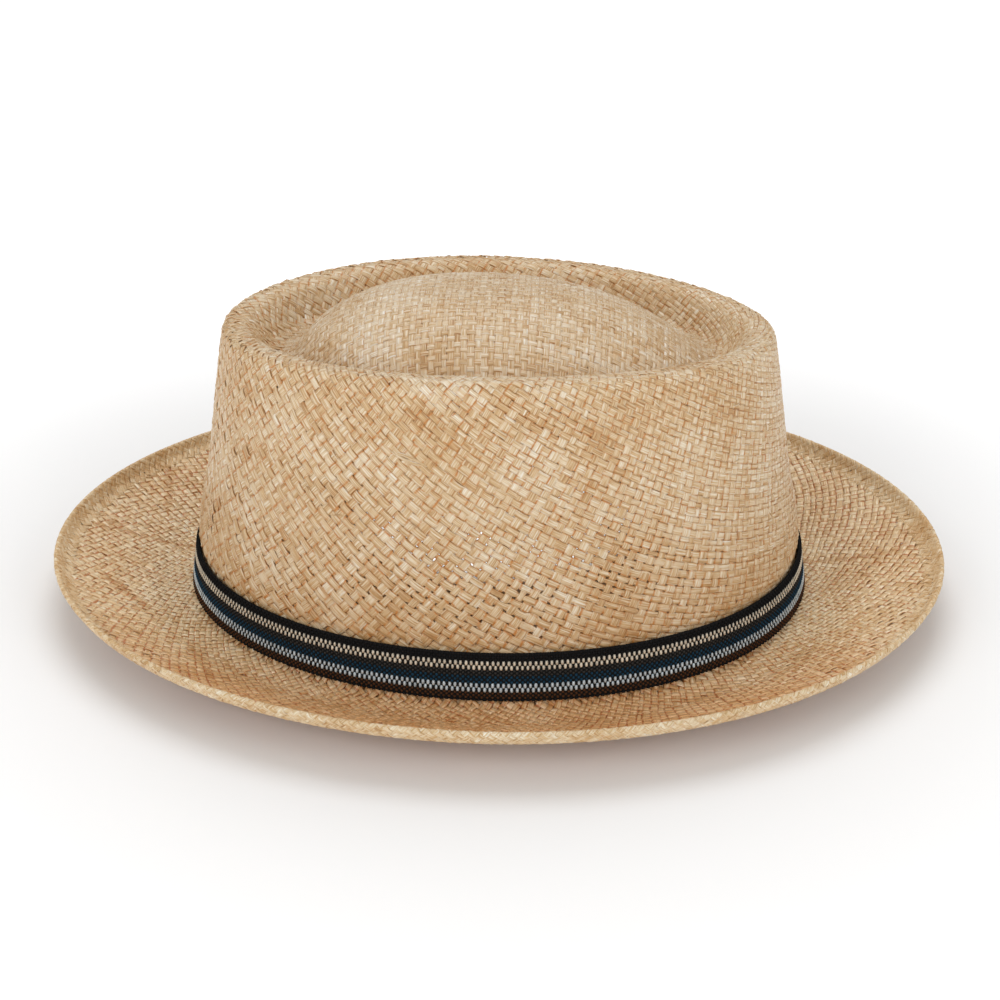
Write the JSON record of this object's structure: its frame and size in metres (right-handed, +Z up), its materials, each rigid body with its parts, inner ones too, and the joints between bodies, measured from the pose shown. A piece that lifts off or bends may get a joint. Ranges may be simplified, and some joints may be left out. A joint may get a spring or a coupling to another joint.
{
  "type": "porkpie hat",
  "caption": "Straw porkpie hat with a domed and moated crown, a short dished brim and a striped ribbon band.",
  "frame": {"origin": "middle of the hat's box, on the surface it rests on", "axes": "+X towards the front of the hat along the long way of the head oval, +Y to its left, +Z up"},
  "size_m": [0.2944, 0.2456, 0.1034],
  "materials": {
    "straw": "plain weave of flat natural straw, satin",
    "ribbon": "woven striped ribbon, matte"
  },
  "bodies": {
    "root": {"straw_body": "straw", "hat_band": "ribbon"}
  },
  "joints": []
}
